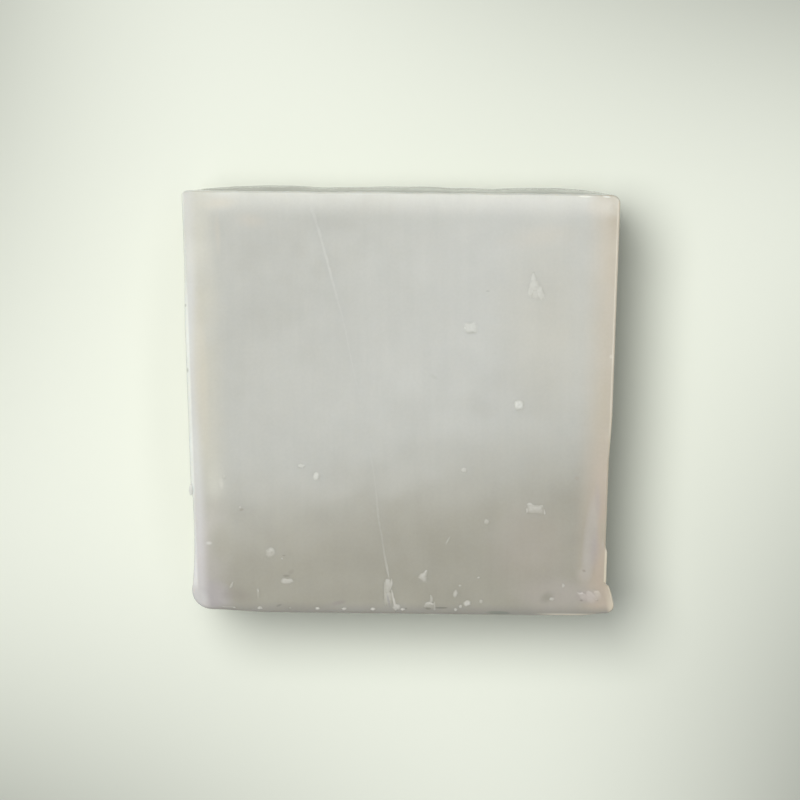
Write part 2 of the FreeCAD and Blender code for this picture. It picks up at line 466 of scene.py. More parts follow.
@dataclass(frozen=True)
class SoapFinish:
    """Cut soap: satin, a little translucent, paler towards its rims with painted highlight and glow.

    The colours are as seen from above under the lamps. The shine on them is taken off again, because the
    gloss of the surface adds it. A pair of colours has the lower part's first and the upper part's second.
    """

    # Colours. Each pair's upper colour is also painted lighter: a share of the lamp's reflection painted
    # in.
    face: Pair = ((168, 165, 153), (200, 201, 195))
    # Painted highlight and glow along the left rim: its stripe, rim and line.
    left_highlight_stripe: Pair = ((180, 176, 169), (210, 209, 198))
    left_rim: Pair = ((202, 199, 198), (219, 220, 216))
    left_highlight_line: Pair = ((222, 221, 219), (243, 246, 240))
    # Painted glow along the right side: light through the soap, as a warmer, paler colour.
    right_glow: Pair = ((190, 178, 163), (204, 197, 182))
    # A cut burr along the right rim, brightened with painted highlight against the rim's shade.
    right_line: Pair = ((221, 211, 191), (226, 219, 205))
    dry: Pair = ((207, 205, 198), (226, 227, 221))
    # Painted highlight along the poured edge, where the rim catches the lamp.
    poured_rim: Screen = (224, 225, 218)
    # Painted highlight on the two corners of the poured edge.
    corner_highlight: Screen = (230, 232, 222)
    # Painted shade on the mould-floor rim, which turns away from the lamp.
    floor_rim: Screen = (153, 151, 144)
    # The floor rim's steep part, painted lighter against its shade.
    floor_steep: Screen = (182, 179, 172)
    floor_cream: Screen = (214, 206, 190)
    wall: Screen = (200, 196, 185)
    # The poured surface, painted dark as the shade it lies in; darkest at the left.
    shaded_skin_left: Screen = (134, 134, 126)
    shaded_skin_right: Screen = (161, 163, 156)
    skin_line: Screen = (140, 143, 137)
    skin_gleam: Screen = (178, 181, 174)
    skin_below: Screen = (172, 171, 162)

    # The edges of the face.
    poured_edge: Edge = Edge(33.45, -1.0, -0.01)
    floor_edge: Edge = Edge(34.4, 1.0, 0.012)
    left_edge: Edge = Edge(34.0, 1.0, 0.0332)
    right_edge: Edge = Edge(34.0, -1.0, 0.0332)
    toe: Toe = Toe()

    # The lower to upper tone change, partly painted reflection, and the bands and lines along the edges.
    light_step: Fade = Fade(-20.0, -2.0)
    light_slant: float = -0.14
    light_drift: Grain = Grain(9.0, 2.0)
    light_drift_reach: float = 5.0
    poured_band: Fade = Fade(4.6, -0.2)
    right_band: Fade = Fade(6.0, 0.8)
    left_band: Fade = Fade(7.0, 2.2)
    # Patches that break up the painted highlight of the left stripe.
    left_highlight_patches: Cloud = Cloud(Grain(11.0, 2.0, shift=0.2), 0.35, 0.6, 0.45, 1.0)
    left_rim_band: Fade = Fade(2.6, 0.8)
    left_line_band: Fade = Fade(0.55, 0.1)
    floor_rim_band: Fade = Fade(2.0, 0.2)
    right_line_band: Fade = Fade(0.35, 0.1)
    toe_line_band: Fade = Fade(1.3, 0.3, 0.0, 0.9)
    cream_start: Fade = Fade(21.0, 25.0)
    cream_band: Fade = Fade(0.55, 0.2, 0.0, 0.85)
    wall_start: Fade = Fade(24.7, 23.0)
    poured_steep_band: Fade = Fade(0.5, 0.2)
    poured_steep_start: Fade = Fade(24.98, 24.9)
    floor_steep_band: Fade = Fade(0.9, 0.5)
    floor_steep_start: Fade = Fade(24.97, 24.85)

    # The poured surface.
    skin_band: Fade = Fade(0.15, -0.1)
    skin_start: Fade = Fade(24.88, 24.65)
    skin_left_end: Fade = Fade(-32.8, -31.2)
    skin_turn: Fade = Fade(-16.0, 4.0)
    skin_line_start: Fade = Fade(19.5, 18.5)
    skin_end: Fade = Fade(15.0, 3.0)
    gleam_bottom: Fade = Fade(18.0, 20.2)
    gleam_top: Fade = Fade(23.4, 21.6)
    poured_corners: tuple[tuple[float, ...], ...] = ((35.2, 33.9, 3.6, 5.0), (-34.0, 34.6, 5.4, 2.0))
    poured_corner_start: Fade = Fade(24.97, 24.85, 0.3, 0.95)
    gleam_patches: Cloud = Cloud(Grain(4.0, 2.0, (1.0, 1.0, 4.0)), 0.4, 0.6)

    # The fine pattern, the gloss and the depth of the soap.
    mottles: tuple[Cloud, ...] = (
        Cloud(Grain(7.0, 4.0, shift=0.3), 0.25, 0.75, 0.97, 1.03),
        Cloud(Grain(1.2, 3.0, (1.0, 14.0, 1.0)), 0.25, 0.75, 0.99, 1.01),
        Cloud(Grain(0.5, 2.0, shift=0.7), 0.2, 0.8, 0.985, 1.015),
    )
    reliefs: tuple[Relief, ...] = (
        Relief(Grain(6.0, 1.0, (4.0, 1.0, 1.0), 8.0), 0.5, 0.03),
        Relief(Grain(0.9, 3.0, (1.0, 16.0, 1.0)), 0.15, 0.01),
        Relief(Grain(0.35, 2.0), 0.3, 0.006),
    )
    roughness: Cloud = Cloud(Grain(5.0, 3.0, shift=0.5), 0.3, 0.7, 0.15, 0.2)
    dry_roughness: float = 0.4
    ior: float = 1.48
    subsurface: float = 0.35
    scatter_shares: tuple[float, float, float] = (1.0, 0.85, 0.65)
    scatter_reach: float = 2.5
    veil: tuple[float, float, float] = (0.115, 0.122, 0.126)
    dry_veiled: float = 0.3
    fill_shine: float = 0.014
    darkest: float = 0.02

    # Patches of other tones; those marked below are painted highlight or shade.
    lilac_corner: Stain = Stain(-30.5, -31.5, 9.0, 7.0, -20.0, (178, 173, 171), 1.0, 0.4)
    scraped: Stain = Stain(30.6, -22.5, 19.0, 2.8, 84.0, (188, 184, 177), 0.7, 0.4)
    stains: tuple[Stain, ...] = (
        Stain(-26.0, -31.5, 7.0, 4.0, -15.0, (156, 151, 141), 0.6, 0.0),
        Stain(25.0, -31.2, 17.0, 7.6, 0.0, (182, 176, 168), 0.8, 0.3),
        Stain(29.6, -28.0, 3.4, 3.2, 0.0, (190, 184, 175), 0.6, 0.2),
        Stain(-28.9, -22.6, 5.4, 9.0, 0.0, (168, 165, 152), 0.75, 0.2),
        Stain(-30.0, -13.0, 4.6, 9.0, 0.0, (206, 206, 194), 0.5, 0.0),
        Stain(-18.4, -28.2, 1.7, 0.6, 0.0, (146, 143, 132), 0.8),
        Stain(-17.7, -27.6, 1.6, 1.0, 40.0, (158, 154, 143), 0.6),
        Stain(-18.8, -24.9, 0.7, 0.3, 0.0, (140, 138, 128), 0.7),
        # Painted shade in the groove between the torn flaps.
        Stain(-1.95, -32.2, 3.0, 0.5, 102.0, (146, 143, 139), 0.9, 0.3),
        Stain(4.5, -33.5, 1.3, 0.5, 0.0, (135, 134, 122), 0.9, 0.4),
        Stain(6.6, -33.4, 2.6, 0.35, 0.0, (130, 128, 120), 0.9, 0.5),
        Stain(0.9, -33.5, 0.6, 0.4, 0.0, (135, 134, 128), 0.8),
        # Painted shade on the mould-floor rim.
        Stain(15.8, -34.2, 4.6, 0.7, -2.0, (138, 141, 133), 0.9, 0.6),
        Stain(23.6, -31.7, 3.4, 2.4, 30.0, (156, 155, 141), 0.7, 0.1),
        Stain(30.0, -31.6, 5.0, 2.6, -8.0, (172, 164, 161), 0.6, 0.1),
        Stain(30.4, -31.6, 4.4, 2.8, -15.0, (193, 183, 175), 0.6, 0.2),
        Stain(29.2, -32.2, 0.8, 0.5, 0.0, (146, 141, 134), 0.6),
        Stain(29.6, -27.4, 0.9, 0.6, -20.0, (164, 157, 148), 0.8),
        Stain(28.4, -12.4, 1.2, 0.9, 0.0, (176, 168, 154), 0.35),
        Stain(-25.6, -17.5, 1.0, 0.6, 20.0, (150, 147, 134), 0.55, 0.2),
        Stain(-31.6, -32.6, 9.0, 6.0, -30.0, (172, 167, 167), 0.75, 0.1),
        Stain(-32.4, -31.8, 3.6, 6.0, 25.0, (204, 202, 200), 0.85, 0.3),
        Stain(-27.8, -31.4, 3.2, 3.0, 0.0, (164, 160, 153), 0.5, 0.1),
        Stain(33.6, 31.2, 10.0, 5.0, 0.0, (223, 220, 209), 0.75, 0.1),
        # Painted highlight: the left rim's stripe, carried higher.
        Stain(-32.6, 26.5, 7.0, 24.0, 3.0, (218, 218, 209), 0.55, 0.1),
        Stain(24.0, 12.0, 24.0, 50.0, 0.0, (199, 197, 185), 0.6, 0.0),
        Stain(21.0, -24.0, 19.0, 20.0, 0.0, (175, 169, 158), 0.75, 0.2),
        # Painted highlight at the left edge.
        Stain(-34.7, 17.9, 0.7, 0.9, 0.0, (240, 244, 238), 0.8),
        # Painted shade: two darker spots on the left rim.
        Stain(-34.5, 15.4, 0.5, 0.8, 0.0, (190, 194, 186), 0.5),
        Stain(-34.2, 5.0, 0.5, 1.1, 0.0, (190, 194, 186), 0.5),
        # Painted highlight along the left stripe.
        Stain(-32.2, 4.0, 3.4, 36.0, 2.0, (216, 212, 198), 0.55, 0.2),
        Stain(-19.6, -33.0, 1.4, 0.5, 20.0, (140, 139, 132), 0.8),
        Stain(-10.0, -32.6, 3.6, 1.0, 12.0, (155, 149, 144), 0.6),
        Stain(5.4, 3.9, 2.0, 0.9, -35.0, (192, 193, 185), 0.55, 0.0),
        Stain(14.0, 17.7, 0.9, 0.3, 0.0, (180, 182, 176), 0.8),
        Stain(-29.3, 27.0, 1.4, 10.0, 3.0, (212, 209, 198), 0.5, 0.0),
        Stain(-28.9, -13.2, 1.0, 2.4, 10.0, (203, 202, 192), 0.7),
        Stain(-30.9, -22.9, 1.4, 0.8, 0.0, (206, 205, 200), 0.8),
        Stain(31.8, -16.0, 1.6, 9.0, 2.0, (182, 173, 168), 0.55, 0.0),
        Stain(31.3, -24.0, 2.6, 9.0, -4.0, (176, 167, 164), 0.6, 0.0),
        Stain(32.6, -23.0, 0.5, 2.6, 0.0, (192, 185, 178), 0.6, 0.0),
        Stain(33.6, -22.0, 0.5, 1.2, 0.0, (206, 190, 184), 0.7, 0.0),
        Stain(-29.0, 31.8, 9.0, 3.0, 4.0, (219, 216, 204), 0.7, 0.0),
        Stain(-24.0, 29.0, 7.0, 3.6, -8.0, (210, 206, 195), 0.5, 0.0),
        Stain(23.0, 26.5, 17.0, 5.5, 8.0, (207, 203, 191), 0.4, 0.0),
        # Painted highlight: two bright lines on the poured rim near the right corner.
        Stain(29.5, 32.85, 2.6, 0.4, -3.0, (243, 243, 234), 0.9, 0.5),
        Stain(33.0, 32.8, 1.7, 0.35, -6.0, (240, 240, 232), 0.9, 0.5),
        Stain(33.9, 7.2, 0.9, 0.8, 30.0, (218, 214, 200), 0.8, 0.5),
        Stain(32.8, -21.2, 2.4, 7.0, 2.0, (184, 177, 161), 0.6, 0.2),
    )

    def bare(self, seen: Screen, veiled: float) -> Linear:
        """Takes the shine off a colour as seen.

        Args:
            seen: The colour as seen from above, on the screen's scale.
            veiled: How much of the lamp's mirror image lies over that place, 0 to 1.

        Returns:
            The soap's own linear colour.
        """
        red, green, blue = (max(self.darkest, light - (self.fill_shine + veiled * part))
                            for light, part in zip(linear(*seen), self.veil))
        return (red, green, blue, 1.0)

    def material(self, name: str, subsurface: float) -> bpy.types.Material:
        """Makes the material.

        Args:
            name: The material's name.
            subsurface: How much of the light goes through the soap before it leaves it.

        Returns:
            The material.
        """
        recipe = Recipe(name)
        recipe.set(Socket.COLOUR, SoapPaint(self, recipe).finish())
        dry = recipe.times(recipe.attribute(DRYNESS), self.dry_roughness)
        recipe.set(Socket.ROUGHNESS, recipe.plus(recipe.cloud(self.roughness), dry))
        recipe.set(Socket.IOR, self.ior)
        recipe.set(Socket.SUBSURFACE, subsurface)
        recipe.set(Socket.SUBSURFACE_RADIUS, self.scatter_shares)
        recipe.set(Socket.SUBSURFACE_SCALE, self.scatter_reach * MM)
        normal = None
        for relief in self.reliefs:
            normal = recipe.bump(relief, normal)
        recipe.set(Socket.NORMAL, normal)
        return recipe.material


@dataclass
class SoapPaint:
    """The soap's colour under construction: coats laid over each other, each on its own part of the bar."""

    look: SoapFinish
    recipe: Recipe
    x: Value = field(init=False)
    y: Value = field(init=False)
    z: Value = field(init=False)
    lit: Value = field(init=False)
    from_poured: Value = field(init=False)
    from_floor: Value = field(init=False)
    from_left: Value = field(init=False)
    from_right: Value = field(init=False)
    colour: Value = field(init=False)

    def __post_init__(self) -> None:
        """Works out where a point of the soap lies, and lays the face's two tones."""
        look = self.look
        recipe = self.recipe
        self.x, self.y, self.z = recipe.axes.outputs
        drift = recipe.times(recipe.grain(look.light_drift), look.light_drift_reach * MM)
        height = recipe.plus(self.y, recipe.times(self.x, look.light_slant), drift)
        self.lit = recipe.fade(height, look.light_step)
        self.from_poured = self.gap(self.y, self.x, look.poured_edge)
        self.from_floor = self.gap(self.y, self.x, look.floor_edge)
        self.from_left = self.gap(self.x, self.y, look.left_edge)
        self.from_right = self.gap(self.x, self.y, look.right_edge)
        self.colour = self.tone(look.face)

    def gap(self, across: Value, along: Value, edge: Edge) -> Value:
        """Gives the distance in from an edge of the upper cut face.

        Args:
            across: The coordinate across the edge.
            along: The coordinate along the edge.
            edge: The edge.

        Returns:
            The distance.
        """
        place = self.recipe.plus(self.recipe.times(along, edge.slope), edge.reach * MM)
        return self.recipe.plus(place, self.recipe.times(across, edge.sign))

    def tone(self, pair: Pair) -> Value:
        """Gives a colour that is lighter on the upper part of the face, partly as painted reflection."""
        lower, upper = pair
        return self.recipe.mix(self.lit, self.look.bare(lower, 0.0), self.look.bare(upper, 1.0))

    def coat(self, share: Value, seen: Screen, veiled: float = 0.0) -> None:
        """Lays a coat of one colour."""
        self.colour = self.recipe.mix(share, self.colour, self.look.bare(seen, veiled))

    def toned_coat(self, share: Value, pair: Pair) -> None:
        """Lays a coat that changes from the lower to the upper part of the face."""
        self.colour = self.recipe.mix(share, self.colour, self.tone(pair))

    def stain(self, stain: Stain) -> None:
        """Lays one stain.

        Args:
            stain: The stain.
        """
        step = self.look.light_step
        veiled = smooth((stain.y - step.start) / (step.end - step.start))
        spot = self.recipe.patch(stain.x, stain.y, stain.length, stain.width, stain.turn_deg, stain.core)
        self.coat(self.recipe.times(spot, stain.strength), stain.colour, veiled)

    def bands(self) -> None:
        """Lays the broad bands along three edges of the face, all painted highlight or glow."""
        look = self.look
        recipe = self.recipe
        # Painted highlight along the poured edge.
        self.coat(recipe.fade(self.from_poured, look.poured_band), look.poured_rim, 1.0)
        # Painted glow along the right side.
        self.toned_coat(recipe.fade(self.from_right, look.right_band), look.right_glow)
        # Painted highlight along the left stripe.
        left = recipe.times(recipe.fade(self.from_left, look.left_band), recipe.cloud(look.left_highlight_patches))
        self.toned_coat(left, look.left_highlight_stripe)

    def rims(self) -> None:
        """Lays the lilac corner, the left and the floor rim, the scraped facet and the stains."""
        look = self.look
        recipe = self.recipe
        self.stain(look.lilac_corner)
        # Painted highlight on the left rim.
        self.toned_coat(recipe.fade(self.from_left, look.left_rim_band), look.left_rim)
        # Painted shade on the floor rim.
        self.coat(recipe.fade(self.from_floor, look.floor_rim_band), look.floor_rim)
        self.stain(look.scraped)
        # Painted highlight: the bright left line.
        self.toned_coat(recipe.fade(self.from_left, look.left_line_band), look.left_highlight_line)
        for stain in look.stains:
            self.stain(stain)

    def bright_lines(self) -> None:
        """Lays the bright line along the right rim and round the toe, and the cream line beside it."""
        look = self.look
        recipe = self.recipe
        rise = recipe.times(self.y, -1.0 / (look.toe.length * MM))
        share = recipe.plus(rise, -look.floor_edge.reach / look.toe.length, 1.0)
        share = recipe.maths("MINIMUM", recipe.maths("MAXIMUM", share, 0.0), 1.0)
        swing = recipe.times(recipe.maths("POWER", share, look.toe.power), look.toe.reach * MM)
        from_toe = recipe.plus(self.from_right, swing)
        broad = recipe.times(share, recipe.fade(from_toe, look.toe_line_band))
        thin = recipe.fade(from_toe, look.right_line_band)
        # The bright line: a cut burr, brightened with painted highlight.
        self.toned_coat(recipe.maths("MAXIMUM", thin, broad), look.right_line)
        cream = recipe.fade(self.from_floor, look.cream_band)
        self.coat(recipe.times(cream, recipe.fade(self.x, look.cream_start)), look.floor_cream)

    def walls(self) -> None:
        """Lays the walls under the rims, and the steep part of the poured and the floor rim."""
        look = self.look
        recipe = self.recipe
        self.coat(recipe.fade(self.z, look.wall_start), look.wall)
        # Painted highlight carried onto the steep part of the poured rim.
        band = recipe.fade(self.from_poured, look.poured_steep_band)
        self.coat(recipe.times(band, recipe.fade(self.z, look.poured_steep_start)), look.poured_rim)
        # The floor rim's steep part, painted lighter against its shade.
        band = recipe.fade(self.from_floor, look.floor_steep_band)
        self.coat(recipe.times(band, recipe.fade(self.z, look.floor_steep_start)), look.floor_steep)

    def poured_surface(self) -> None:
        """Lays the poured surface in painted shade and its two corners in painted highlight."""
        look = self.look
        recipe = self.recipe
        band = recipe.fade(self.from_poured, look.skin_band)
        under_rim = recipe.fade(self.z, look.skin_start)
        share = recipe.times(band, under_rim, recipe.fade(self.x, look.skin_left_end))
        self.colour = recipe.mix(share, self.colour, self.skin())
        # Painted highlight on the poured edge's two corners.
        corners = recipe.maths("MAXIMUM", *(recipe.patch(*corner) for corner in look.poured_corners))
        pale = recipe.times(corners, recipe.fade(self.z, look.poured_corner_start))
        self.coat(pale, look.corner_highlight)

    def skin(self) -> Value:
        """Gives the poured surface's colour: painted shade, darker at the left, drawn in lines along the
        right.

        Returns:
            The colour.
        """
        look = self.look
        recipe = self.recipe
        along = recipe.fade(self.x, look.skin_turn)
        # Painted shade on the poured surface.
        colour = recipe.mix(along, look.bare(look.shaded_skin_left, 0.0), look.bare(look.shaded_skin_right, 0.0))
        line = recipe.times(recipe.fade(self.z, look.skin_line_start), along)
        colour = recipe.mix(line, colour, look.bare(look.skin_line, 0.0))
        colour = recipe.mix(recipe.fade(self.z, look.skin_end), colour, look.bare(look.skin_below, 0.0))
        gleam = recipe.times(recipe.fade(self.z, look.gleam_bottom), recipe.fade(self.z, look.gleam_top),
                             along, recipe.cloud(look.gleam_patches))
        return recipe.mix(gleam, colour, look.bare(look.skin_gleam, 0.0))

    def finish(self) -> Value:
        """Lays all the coats, varies them in soft clouds and lays the dry marks' pale tone over them.

        Returns:
            The whole colour.
        """
        self.bands()
        self.rims()
        self.bright_lines()
        self.walls()
        self.poured_surface()
        look = self.look
        recipe = self.recipe
        shade = recipe.times(*(recipe.cloud(mottle) for mottle in look.mottles))
        colour = recipe.mix(1.0, self.colour, shade, "MULTIPLY")
        lower, upper = look.dry
        pale = recipe.mix(self.lit, look.bare(lower, 0.0), look.bare(upper, look.dry_veiled))
        return recipe.mix(recipe.attribute(DRYNESS), colour, pale)


class Corner(Enum):
    """The bar's four corners in plan, as the signs of X and Y."""

    POURED_LEFT = (-1, 1)
    POURED_RIGHT = (1, 1)
    FLOOR_LEFT = (-1, -1)
    FLOOR_RIGHT = (1, -1)


@dataclass
class Slice:
    """The slice itself: a block with rounded corners and rims, tapered sides, a toe and a low crown."""

    # The block and its slant.
    thickness: float = 25.0
    poured_width: float = 70.2
    height: float = 67.9
    draft_deg: float = 1.9
    floor_rise: float = 0.8
    poured_rise: float = 0.7
    # The crown of the poured surface, with its waves.
    crown_rise: float = 1.1
    crown_power: float = 9.0
    wave_height: float = 0.12
    wave_length: float = 23.0
    wave_phase: float = 0.9
    ripple: Lumps = Lumps(5.0, 3.0, 0.06)
    poured_start: float = 0.85
    poured_ease: float = 0.14
    poured_wobble: Lumps = Lumps(4.0, 9.0, 0.12)
    # The toe and the heel, where the floor edge lifts, and the fullness and hollow of the sides.
    toe: Toe = Toe()
    toe_lift: float = 0.45
    toe_lift_start: float = 28.5
    toe_lift_ease: float = 5.0
    heel_lift: float = 0.42
    heel_lift_start: float = 21.0
    heel_lift_ease: float = 10.0
    lift_share: float = 0.06
    swell_length: float = 13.0
    swell_reach: float = 1.3
    left_fullness: float = 0.28
    left_full: Stretch = Stretch(18.0, 2.5, 57.0, 12.0)
    right_fullness: float = 0.17
    hollow_depth: float = 0.31
    hollow: Stretch = Stretch(10.6, 0.6, 33.0, 9.0)
    # The rims' radii and wear, the waves of the cut face and the corners.
    left_rim: float = 0.4
    right_rim: float = 0.16
    poured_rim: float = 0.15
    floor_rim: float = 0.34
    rim_blend: float = 2.0
    rim_reach: float = 2.2
    face_waves: tuple[Lumps, ...] = (Lumps(14.0, 1.0, 0.05), Lumps(5.0, 2.0, 0.02))
    rim_chips: tuple[Lumps, ...] = (Lumps(1.1, 4.0, 0.5), Lumps(0.5, 6.0, 0.25))
    chip_depth: float = 0.07
    chip_level: float = 0.1
    underside: float = -0.5
    corner_radii: dict[Corner, float] = field(default_factory=lambda: {
        Corner.POURED_LEFT: 0.9,
        Corner.POURED_RIGHT: 1.4,
        Corner.FLOOR_LEFT: 3.9,
        Corner.FLOOR_RIGHT: 1.7,
    })
    # How finely the block is divided.
    steps_across: int = 150
    steps_along: int = 148
    steps_through: int = 54
    edge_crowding: float = 0.7
    floor_line: float = field(init=False)

    def __post_init__(self) -> None:
        """Takes the mould floor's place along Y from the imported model."""
        self.floor_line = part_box(NODE)[0][1] / MM

    def crowd(self, share: float) -> float:
        """Brings the steps closer together towards the block's edges."""
        return (1.0 - self.edge_crowding) * share + self.edge_crowding * math.sin(share * math.pi / 2.0)

    def rim_radius(self, right: bool, poured: bool, from_side: float, from_end: float) -> float:
        """Gives the rim's radius at a place, blended round the corners.

        Args:
            right: Whether the place is on the right half.
            poured: Whether it is on the poured half.
            from_side: Distance in from the nearest mould wall.
            from_end: Distance in from the poured or the floor edge.

        Returns:
            The radius.
        """
        side = self.right_rim if right else self.left_rim
        end = self.poured_rim if poured else self.floor_rim
        share = (from_side + self.rim_blend) / (from_side + from_end + 2.0 * self.rim_blend)
        return side + (end - side) * smooth(share)

    def round_rim(self, point: Vector, gaps: tuple[float, float, float]) -> tuple[float, float, float]:
        """Rounds the rim: moves a point of the block's skin onto a quarter circle.

        Args:
            point: The point on the sharp block.
            gaps: Its distances in from the sides, the ends and the cut faces.

        Returns:
            The new distances.
        """
        from_side, from_end, from_face = gaps
        radius = self.rim_radius(point.x > 0.0, point.y > 0.0, from_side, from_end)

        def inward(gap: float) -> float:
            """Rounds the distance in from an edge, for a point of a cut face.

            Args:
                gap: The distance on the sharp block.

            Returns:
                The rounded distance.
            """
            if gap >= radius:
                return gap
            return radius * (1.0 - math.sin(math.atan2(radius - gap, radius)))

        if from_face <= 0.0:
            nearest = min(from_side, from_end)
            if nearest < radius:
                from_face = radius * (1.0 - math.cos(math.atan2(radius - nearest, radius)))
            return inward(from_side), inward(from_end), max(0.0, from_face)
        if from_face >= radius:
            return gaps
        turn = math.atan2(radius, radius - from_face)
        inset = radius * (1.0 - math.sin(turn))
        first = inward(0.0)

        def squeeze(gap: float) -> float:
            """Rounds the distance in from an edge, for a point of a wall close under the rim.

            Args:
                gap: The distance on the sharp block.

            Returns:
                The rounded distance.
            """
            if gap >= radius:
                return gap
            return inset + (radius - inset) * (inward(gap) - first) / (radius - first)

        return squeeze(from_side), squeeze(from_end), radius * (1.0 - math.cos(turn))

    def round_corner(self, point: Vector, from_side: float, from_end: float) -> tuple[float, float]:
        """Rounds a corner in plan: turns square rings round the corner's centre into arcs.

        Args:
            point: The point on the sharp block.
            from_side: Distance in from the nearest side.
            from_end: Distance in from the nearest end.

        Returns:
            The new distances in from the side and the end.
        """
        corner = Corner((1 if point.x > 0.0 else -1, 1 if point.y > 0.0 else -1))
        radius = self.corner_radii[corner]
        across = radius - from_side
        along = radius - from_end
        if across <= 0.0 or along <= 0.0:
            return from_side, from_end
        scale = max(across, along) / math.hypot(across, along)
        return radius - across * scale, radius - along * scale

    def crown(self, x: float, z: float) -> float:
        """Gives how far the poured surface stands over the poured edge.

        Args:
            x: Place along the surface.
            z: Place through the slice.

        Returns:
            The rise of the crown, with its waves.
        """
        across = max(0.0, 1.0 - abs(2.0 * x / self.poured_width) ** self.crown_power)
        through = max(0.0, 1.0 - (2.0 * z / self.thickness - 1.0) ** 2)
        wave = self.wave_height * math.sin(2.0 * math.pi * x / self.wave_length + self.wave_phase)
        ripple = self.ripple.at(Vector((x, 0.0, z)))
        return (self.crown_rise * across + wave + ripple) * through

    def floor_slant(self, x: float) -> float:
        """How far the mould-floor edge lies over its lowest point at x."""
        return self.floor_rise * (0.5 - x / self.poured_width)

    def half_width(self, rise: float, right: bool) -> float:
        """Half the bar's width at a height over the mould floor, on one side.

        Args:
            rise: Height over the mould floor.
            right: Whether it is the right side.

        Returns:
            The distance from the middle to the side.
        """
        slope = math.tan(math.radians(self.draft_deg))
        half = self.poured_width / 2.0 - (self.height - rise) * slope
        if right:
            toe = max(0.0, 1.0 - rise / self.toe.length)
            half += self.toe.reach * toe ** self.toe.power
            return half + self.right_fullness - self.hollow_depth * self.hollow.share(rise)
        swell = max(0.0, 1.0 - rise / self.swell_length)
        return half + self.swell_reach * swell * swell + self.left_fullness * self.left_full.share(rise)

    def shape(self, point: Vector) -> Vector:
        """Bends the plain rounded block into the cut slice.

        Args:
            point: A point of the rounded block, whose middle is the origin.

        Returns:
            Its place on the bar, in the part's frame.
        """
        share = point.y / self.height + 0.5
        z = point.z + self.thickness / 2.0
        right = point.x > 0.0
        rise = self.height * share
        x = point.x * self.half_width(rise, right) / (self.poured_width / 2.0)
        floor_y = self.floor_slant(x)
        poured_y = self.height + self.poured_rise * (0.5 - x / self.poured_width)
        y = floor_y + share * (poured_y - floor_y)
        poured_share = smooth((share - self.poured_start) / self.poured_ease)
        y += (self.crown(x, z) + self.poured_wobble.at(Vector((x, 0.0, 0.0)))) * poured_share
        lift = self.toe_lift * smooth((x - self.toe_lift_start) / self.toe_lift_ease)
        lift += self.heel_lift * smooth((-x - self.heel_lift_start) / self.heel_lift_ease)
        y += lift * smooth(1.0 - share / self.lift_share)
        return Vector((x, y + self.floor_line, z))

    def weather(self, place: Vector, normal: Vector, rim: float) -> Vector:
        """Adds the slow waves of the cut faces and small wear along the rims.

        Args:
            place: The point on the bar.
            normal: The way the surface faces there.
            rim: Closeness to a rim, 0 to 1.

        Returns:
            The worn point.
        """
        if normal.z < self.underside:
            return place
        waves = sum(lumps.at(place) for lumps in self.face_waves)
        chips = sum(lumps.at(place) for lumps in self.rim_chips)
        wear = self.chip_depth * rim * min(0.0, chips + self.chip_level)
        return place + normal * (waves * (1.0 - rim) + wear)

    def top(self, x: float, y: float) -> float:
        """Gives the height of the upper cut face.

        Args:
            x: Place along X.
            y: Place along Y.

        Returns:
            The height there.
        """
        rise = y - self.floor_line
        side = self.half_width(rise, x > 0.0) - abs(x)
        gap = max(0.0, min(side, rise, self.height - rise))
        return self.weather(Vector((x, y, self.thickness)), UP, smooth(1.0 - gap / self.rim_reach)).z

    def block(self) -> bmesh.types.BMesh:
        """Makes the plain block, divided into small faces along each axis.

        Returns:
            The block, 2 across along each axis.
        """
        bm = bmesh.new()
        bmesh.ops.create_cube(bm, size=2.0)
        for axis, steps in enumerate((self.steps_across, self.steps_along, self.steps_through)):
            edges = [edge for edge in bm.edges if self.runs_along(edge, axis)]
            bmesh.ops.subdivide_edges(bm, edges=edges, cuts=steps - 1, use_grid_fill=True)
        return bm

    def runs_along(self, edge: bmesh.types.BMEdge, axis: int) -> bool:
        """Whether an edge of the block runs along an axis, as each does along one of the three."""
        run = edge.verts[1].co - edge.verts[0].co
        return abs(run[axis]) > run.length / 2.0

    def build(self) -> bpy.types.Object:
        """Makes the slice.

        Returns:
            The finished piece.
        """
        bm = self.block()
        half = Vector((self.poured_width / 2.0, self.height / 2.0, self.thickness / 2.0))
        rims = {}
        for vert in bm.verts:
            point = Vector([half[axis] * self.crowd(vert.co[axis]) for axis in range(3)])
            gaps = tuple(max(0.0, half[axis] - abs(point[axis])) for axis in range(3))
            second = sorted(gaps)[1]
            rims[vert] = smooth(1.0 - second / self.rim_reach)
            from_side, from_end, from_face = self.round_rim(point, gaps)
            from_side, from_end = self.round_corner(point, from_side, from_end)
            vert.co = self.shape(Vector((
                math.copysign(half.x - from_side, point.x),
                math.copysign(half.y - from_end, point.y),
                math.copysign(half.z - from_face, point.z),
            )))
        bmesh.ops.recalc_face_normals(bm, faces=bm.faces)
        bm.normal_update()
        worn = {vert: self.weather(vert.co, vert.normal, rims[vert]) for vert in bm.verts}
        for vert, place in worn.items():
            vert.co = place
        return finish_mesh(bm, "soap_slice")


